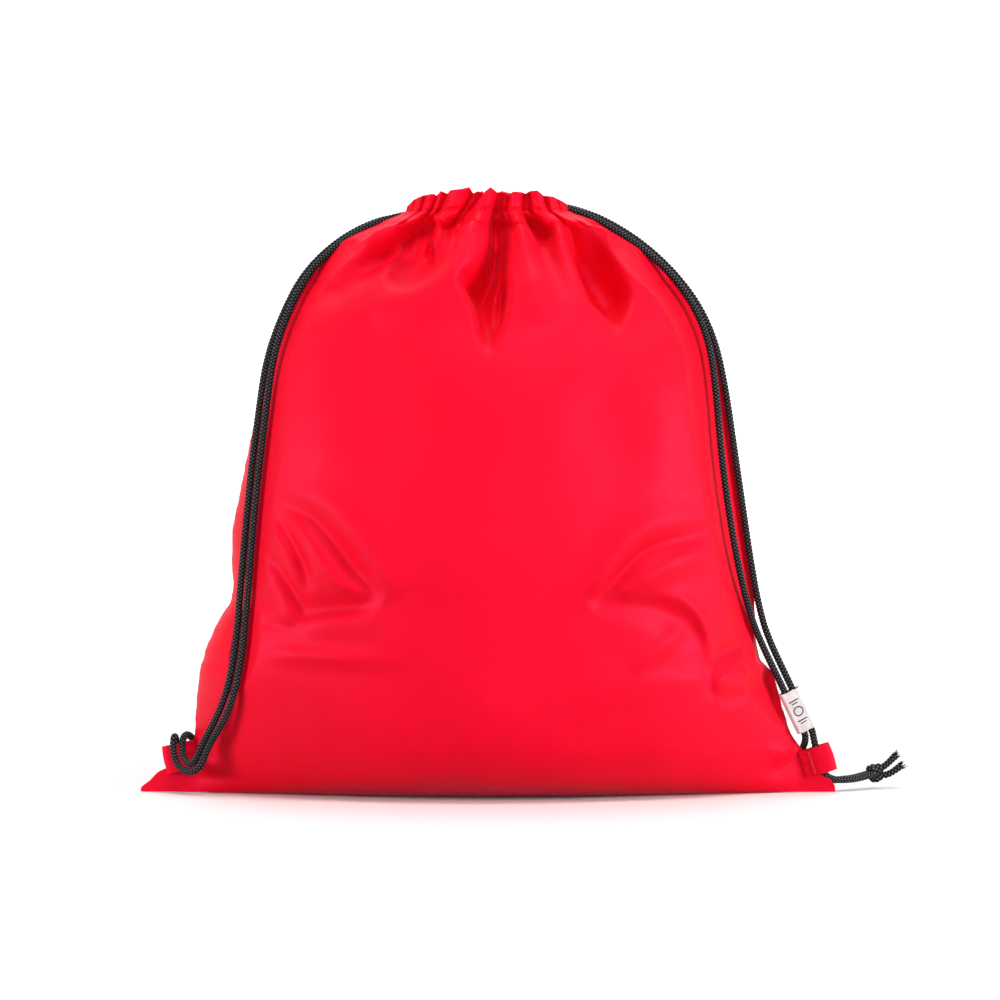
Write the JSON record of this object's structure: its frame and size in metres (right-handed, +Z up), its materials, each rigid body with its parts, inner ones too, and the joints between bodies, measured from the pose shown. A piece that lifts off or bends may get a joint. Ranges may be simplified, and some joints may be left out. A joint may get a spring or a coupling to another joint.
{
  "type": "drawstring backpack",
  "caption": "Drawstring backpack standing filled, its mouth gathered on two braided cords that run down the sides as straps to loops at the bottom corners.",
  "frame": {"origin": "on the floor under the middle of the bag, half way between the tips of its bottom corners and half way between front and back", "axes": "+X across the bag towards the labelled strap, +Y from the front panel to the back panel, +Z up to the gathered mouth"},
  "size_m": [0.3873, 0.17, 0.303],
  "materials": {
    "red_cloth": "plain woven polyester, slight sheen",
    "red_thread": "matt sewing thread",
    "black_cord": "braided polyester",
    "label_tape": "smooth printed tape"
  },
  "bodies": {
    "bag": {"front_panel": "red_cloth", "back_panel": "red_cloth", "front_hem": "red_cloth", "back_hem": "red_cloth", "front_hem_stitching": "red_thread", "back_hem_stitching": "red_thread", "left_side_seam": "red_thread", "right_side_seam": "red_thread", "bottom_seam": "red_thread", "left_corner_loop": "red_cloth", "right_corner_loop": "red_cloth", "left_loop_bartack": "red_thread", "right_loop_bartack": "red_thread", "left_channel_cord": "black_cord", "right_channel_cord": "black_cord", "left_front_leg": "black_cord", "left_back_leg": "black_cord", "right_front_leg": "black_cord", "right_back_leg": "black_cord"},
    "left_strap": {"left_front_run": "black_cord", "left_back_run": "black_cord"},
    "right_strap": {"right_front_run": "black_cord", "right_back_run": "black_cord"},
    "label": {"label": "label_tape"},
    "left_knotted_end": {"left_front_end": "black_cord", "left_back_end": "black_cord", "left_knot": "black_cord", "left_high_tail": "black_cord", "left_low_tail": "black_cord"},
    "right_knotted_end": {"right_front_end": "black_cord", "right_back_end": "black_cord", "right_knot": "black_cord", "right_high_tail": "black_cord", "right_low_tail": "black_cord"}
  },
  "joints": [
    {"name": "left_strap_swing", "type": "hinge", "parent": "bag", "child": "left_strap", "pos_m": [-0.042, 0, 0.2928], "axis": [-0.3473, -0.0718, -0.935], "range_deg": [0, 38]},
    {"name": "right_strap_swing", "type": "hinge", "parent": "bag", "child": "right_strap", "pos_m": [0.042, 0, 0.2962], "axis": [-0.4094, 0.0103, 0.9123], "range_deg": [0, 48]},
    {"name": "label_slide", "type": "slide", "parent": "right_strap", "child": "label", "axis": [-0.4317, -0.1337, 0.8921], "range_m": [0, 0.013]},
    {"name": "left_knot_lift", "type": "hinge", "parent": "bag", "child": "left_knotted_end", "pos_m": [-0.14505, 0.0413, 0.006], "axis": [1, 0, 0], "range_deg": [0, 60]},
    {"name": "right_knot_lift", "type": "hinge", "parent": "bag", "child": "right_knotted_end", "pos_m": [0.18, 0.0091, 0.0076], "axis": [0.613, -0.7901, 0], "range_deg": [0, 45]}
  ]
}
